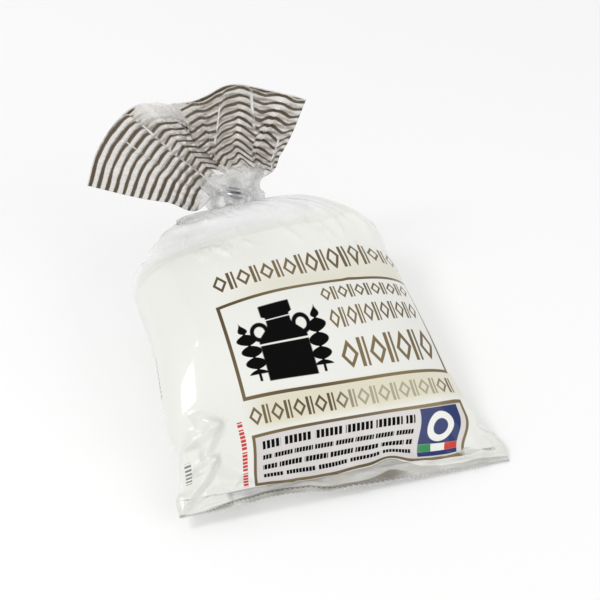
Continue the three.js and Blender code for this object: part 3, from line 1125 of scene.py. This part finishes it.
class OBJECT_OT_bag_contents(bpy.types.Operator):
    """Make the white contents that fill the film"""

    bl_idname = "object.bag_contents"
    bl_label = "Contents"

    def execute(self, context):
        settings, colours = context.scene.bag_film, context.scene.bag_colours
        columns, rows = CONTENTS_COLUMNS, CONTENTS_ROWS
        angle = ring_angles(columns)
        shares = lerp(CONTENTS_FROM, CONTENTS_TO, np.arange(rows) / (rows - 1))
        grid = np.array([body_ring(s, angle) for s in shares])
        start, end = 1 - ease(shares, CONTENTS_FROM, 0.24), ease(shares, 0.94, CONTENTS_TO)
        depth = settings.film_gap / MM + CONTENTS_CLEARANCE + 0.6 * start + 0.8 * end
        grid = grid - grid_normals(grid) * depth[:, None, None]
        middle = grid.mean(1, keepdims=True)
        narrow = 1 - 0.32 * start[:, None] - 0.15 * end[:, None]
        grid[..., 0] = middle[..., 0] + (grid[..., 0] - middle[..., 0]) * narrow
        grid[..., 2] = np.maximum(grid[..., 2], settings.film_gap / MM)
        uv = np.zeros((rows, columns + 1, 2))
        milk = mesh_from_grid("contents", grid, uv, caps=(True, True))
        milk.data.materials.append(milk_finish(colours))
        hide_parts("bag")
        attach(milk, "root")
        return {"FINISHED"}


# Folds of the fan: places at its edge and at its root (left -1 to right 1), half width, height as
# a share, and the shares of the way to the edge between which the fold runs
FRONT_FOLDS = [
    (-0.395, -0.56, 0.035, 1.15, 0.1, 1.1),
    (-0.33, -0.45, 0.05, -0.75, 0.1, 1.1),
    (-0.59, -0.8, 0.03, 0.4, 0.45, 0.9),
    (0.44, -0.1, 0.02, 0.45, 0.15, 1.1),
    (0.64, 0.76, 0.03, 0.5, 0.6, 1.1),
    (0.56, 0.5, 0.05, -0.4, 0.5, 1.1),
    (0.9, 0.97, 0.02, 0.5, 0.25, 0.65),
    (0.12, -0.2, 0.06, 0.35, 0.2, 1.1),
]
BACK_FOLDS = [
    (-0.7, -0.6, 0.05, 0.5, 0.1, 1.1),
    (-0.2, -0.3, 0.06, -0.6, 0.1, 1.1),
    (0.2, 0.1, 0.05, 0.7, 0.1, 1.1),
    (0.6, 0.5, 0.06, -0.5, 0.1, 1.1),
]


def fan_folds(place, share, folds, seed):
    """Height of the fan's radial folds: a few sharp ones, and waves that tighten to the root."""
    height = np.zeros_like(place)
    for at_edge, at_root, width, rise, start, end in folds:
        middle = lerp(at_root, at_edge, np.sqrt(np.clip(share, 0, 1)))
        run = ease(share, start - 0.1, start + 0.1) * (1 - ease(share, end - 0.1, end + 0.1))
        height += rise * run * np.exp(-np.abs(place - middle) / width)
    waves = ripple(place * 26 + 1.2 * np.sin(share * 5), seed, 4, 0.75, 1.35)
    dense = ease(place, -0.42, -0.34) * (1 - ease(place, 0.0, 0.15))
    lively = 0.14 + 0.5 * ease(place, -0.42, -0.2) + 0.25 * ease(place, 0.1, 0.5)
    height += waves * lively * (1 - 0.45 * ease(share, 0.55, 0.95))
    height += 0.16 * dense * ripple(place * 60, seed + 1, 4, 0.8, 1.3)
    small = 0.25 * ripple(place * 40 + share * 6, seed + 2, 4, 0.8, 1.4)
    height += small * (1 - ease(share, 0.25, 0.6))
    return height * ease(share, 0.02, 0.3) * (1 - ease(np.abs(place), 0.93, 1))


class OBJECT_OT_bag_fan(bpy.types.Operator):
    """Make the striped fan of film above the clip"""

    bl_idname = "object.bag_fan"
    bl_label = "Striped fan"

    def execute(self, context):
        settings, colours = context.scene.bag_film, context.scene.bag_colours
        columns, rows = FAN_COLUMNS, settings.fan_rows
        angle = ring_angles(columns)
        neck = [neck_ring(s, angle) for s in np.linspace(0.45, 1, FAN_NECK_ROWS)]
        share = (np.arange(1, rows + 1) / rows) ** 1.2
        angle_grid = np.tile(angle, (rows, 1))
        share_grid = np.tile(share[:, None], (1, columns))
        place = -np.cos(angle_grid)
        rise = np.sin(angle_grid)
        flat = ease(share_grid, 0, FAN_SPREAD)
        swell = FAN_SWELL * np.sin(math.pi * np.clip(share_grid / FAN_SPREAD, 0, 1))
        radius = NECK_RADIUS * (1 - flat) + swell
        half = np.sign(rise) * np.sqrt(np.abs(rise)) * FAN_THICKNESS / 2
        front = fan_folds(place, share_grid, FRONT_FOLDS, 11)
        back = -np.abs(fan_folds(place, share_grid, BACK_FOLDS, 12))
        back = back * (0.6 - 0.45 * ease(share_grid, 0.75, 1))
        folds = np.where(rise > 0, front, back) * settings.fold_height / MM
        points = fan_point(place, share_grid) + (radius * place)[..., None] * np.array([1, 0, 0])
        points = points + (radius * rise)[..., None] * NECK_FRONT
        points = points + fan_normal(place, share_grid) * (half * flat + folds)[..., None]
        near_clip = np.exp(-(((share_grid - 0.17) / 0.13) ** 2))
        droop = FAN_DROOP * near_clip * np.maximum(-place, 0) ** 3
        points = points + droop[..., None] * FAN_DROOP_SIDE
        grid = np.concatenate([np.array(neck), points])
        place, share_grid, rise = closed(place), closed(share_grid), closed(rise)
        edge = np.linalg.norm(fan_edge_at(place), axis=-1)
        from_edge, reach = edge * (1 - share_grid), edge * share_grid
        pad = np.zeros((len(neck), columns + 1))
        across = np.vstack([pad, place * FAN_PRINT_HALF])
        uv = np.stack([across, np.vstack([pad + FAN_PRINT_HALF, from_edge])], -1)
        fan = mesh_from_grid("film_fan", grid, uv)
        sides = np.where(rise > 0, place, place + BACK_OF_FAN)
        add_uv(fan, "root", np.stack([np.vstack([pad, reach]), np.vstack([pad, sides])], -1))
        fan.data.materials.append(striped_film_finish(colours))
        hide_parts("bag")
        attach(fan, "root")
        return {"FINISHED"}


class OBJECT_OT_bag_ruff(bpy.types.Operator):
    """Make the loose clear film that is bunched round the clip"""

    bl_idname = "object.bag_ruff"
    bl_label = "Ruff round the clip"

    def execute(self, context):
        colours = context.scene.bag_colours
        columns, rows = RUFF_COLUMNS, RUFF_ROWS
        angle = ring_angles(columns)[None]
        share = np.linspace(0, 1, rows)[:, None]
        middle = lerp(NECK_START, NECK_END, 0.5)
        height = lerp(RUFF_FROM, RUFF_TO, share)
        height = height + 1.1 * ripple(angle * 3, 21, 5, 0.8, 2.4) * (2 * share - 1)
        waist = RUFF_WAIST * np.sin(math.pi * np.clip(share * 1.1, 0, 1)) ** 2
        radius = RUFF_RADIUS - waist + RUFF_FLARE * share
        # pleats from large to small, then creases across them
        turn = angle / (2 * math.pi) + 0.02 * np.sin(5 * share + 3 * angle)
        radius = radius + 1.7 * ridged(9 * turn + 0.4 * np.sin(2 * angle))
        radius = radius + 0.9 * ridged(17 * turn + 0.5 * share)
        radius = radius + 0.5 * ripple(angle * 8 + share * 6, 22, 5, 0.7, 1.7)
        bent = 0.9 * np.sin(3 * angle) + 0.3 * np.sin(9 * share)
        radius = radius + 0.45 * ridged(31 * turn + bent)
        radius = radius + 0.35 * np.abs(ripple(share * 26 + 3 * np.sin(angle * 7), 23, 4, 0.7, 1.4))
        # the clip shows through a gap in its front
        front = np.angle(np.exp(1j * (angle - math.pi / 2 + 0.08)))
        window = np.exp(-((front / 0.27) ** 4)) * ease(share, 0, 0.15)
        window = window * (1 - ease(share, 0.62, 0.8))
        ends = np.exp(-share * 12) * 3.5 + ease(share, 0.9, 1) * 1.5
        radius = lerp(radius - ends, RUFF_AT_CLIP, window)
        across = (-radius * np.cos(angle))[..., None] * np.array([RUFF_FLATNESS[0], 0, 0])
        depth = (radius * np.sin(angle))[..., None] * NECK_FRONT * RUFF_FLATNESS[1]
        grid = middle + across + depth + (height * np.ones_like(radius))[..., None] * NECK_AXIS
        around = np.broadcast_to(np.linspace(0, 60, columns + 1), (rows, columns + 1))
        up = np.broadcast_to(share * (RUFF_TO - RUFF_FROM), (rows, columns + 1))
        ruff = mesh_from_grid("film_ruff", grid, np.stack([around, up], -1))
        ruff.data.materials.append(clear_film_finish(colours))
        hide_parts("bag")
        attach(ruff, "root")
        return {"FINISHED"}


class OBJECT_OT_bag_clip(bpy.types.Operator):
    """Give the clip's solid its metal"""

    bl_idname = "object.bag_clip"
    bl_label = "Clip"

    def execute(self, context):
        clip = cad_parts["clip"]
        clip.data.materials.clear()
        clip.data.materials.append(clip_finish(context.scene.bag_colours))
        return {"FINISHED"}


FLOOR_HALF = 6  # half the floor's side, metres
# Area lights: name, place and side, metres
LIGHTS = [("key_light", (-0.6, -0.02, 0.88), 0.3), ("fill_light", (0.6, -0.75, 0.6), 0.7)]
LIT_PLACE = (0, 0, 0.04)
SENSOR_WIDTH = 36


class OBJECT_OT_bag_stage(bpy.types.Operator):
    """Make the floor, the lights and the camera"""

    bl_idname = "object.bag_stage"
    bl_label = "Stage"

    def execute(self, context):
        scene, settings = context.scene, context.scene.bag_stage
        mesh = bpy.data.meshes.new("studio_floor")
        half = FLOOR_HALF
        corners = [(-half, -half, 0), (half, -half, 0), (half, half, 0), (-half, half, 0)]
        mesh.from_pydata(corners, [], [(0, 1, 2, 3)])
        floor = bpy.data.objects.new("studio_floor", mesh)
        scene.collection.objects.link(floor)
        floor.data.materials.append(floor_finish(scene.bag_colours))

        world = bpy.data.worlds.new("studio_sky")
        world.use_nodes = True
        sky = world.node_tree.nodes["Background"]
        sky.inputs["Color"].default_value = (1, 1, 1, 1)
        sky.inputs["Strength"].default_value = settings.sky
        scene.world = world

        powers = (settings.key_power, settings.fill_power)
        for (name, place, width), power in zip(LIGHTS, powers):
            light = bpy.data.lights.new(name, "AREA")
            light.size, light.energy = width, power
            lamp = bpy.data.objects.new(name, light)
            lamp.location = place
            back = Vector(place) - Vector(LIT_PLACE)
            lamp.rotation_euler = back.to_track_quat("Z", "Y").to_euler()
            scene.collection.objects.link(lamp)

        turn, lift = settings.azimuth, settings.elevation
        level = math.cos(lift)
        back = Vector((-math.sin(turn) * level, -math.cos(turn) * level, math.sin(lift)))
        right = Vector((math.cos(turn), -math.sin(turn), 0))
        up = back.cross(right)
        camera = bpy.data.cameras.new("camera")
        camera.lens, camera.sensor_width = settings.lens, SENSOR_WIDTH
        eye = bpy.data.objects.new("camera", camera)
        place = Vector(settings.target) + back * settings.distance
        facing = Matrix((right, up, back)).transposed().to_4x4()
        eye.matrix_world = Matrix.Translation(place) @ facing
        scene.collection.objects.link(eye)
        scene.camera = eye
        scene.view_settings.view_transform = "Standard"
        return {"FINISHED"}


class VIEW3D_PT_bag(bpy.types.Panel):
    """Lists the bag's pieces in the sidebar"""

    bl_label = "Bagged mozzarella"
    bl_idname = "VIEW3D_PT_bag"
    bl_space_type = "VIEW_3D"
    bl_region_type = "UI"
    bl_category = "Bag"

    def draw(self, context):
        for operator in OPERATORS:
            self.layout.operator(operator.bl_idname)
        for group in (context.scene.bag_film, context.scene.bag_colours, context.scene.bag_stage):
            box = self.layout.box()
            for name in group.__annotations__:
                box.prop(group, name)


OPERATORS = (
    OBJECT_OT_bag_stage,
    OBJECT_OT_bag_film,
    OBJECT_OT_bag_contents,
    OBJECT_OT_bag_fan,
    OBJECT_OT_bag_ruff,
    OBJECT_OT_bag_clip,
)
GROUPS = (BagFilmSettings, BagColourSettings, BagStageSettings)


def register():
    for item in (*GROUPS, *OPERATORS, VIEW3D_PT_bag):
        bpy.utils.register_class(item)
    bpy.types.Scene.bag_film = PointerProperty(type=BagFilmSettings)
    bpy.types.Scene.bag_colours = PointerProperty(type=BagColourSettings)
    bpy.types.Scene.bag_stage = PointerProperty(type=BagStageSettings)


def unregister():
    del bpy.types.Scene.bag_film, bpy.types.Scene.bag_colours, bpy.types.Scene.bag_stage
    for item in (VIEW3D_PT_bag, *reversed(OPERATORS), *reversed(GROUPS)):
        bpy.utils.unregister_class(item)


def main():
    register()
    bpy.ops.object.bag_stage()
    bpy.ops.object.bag_film()
    bpy.ops.object.bag_contents()
    bpy.ops.object.bag_fan()
    bpy.ops.object.bag_ruff()
    bpy.ops.object.bag_clip()


if __name__ == "__main__":
    main()
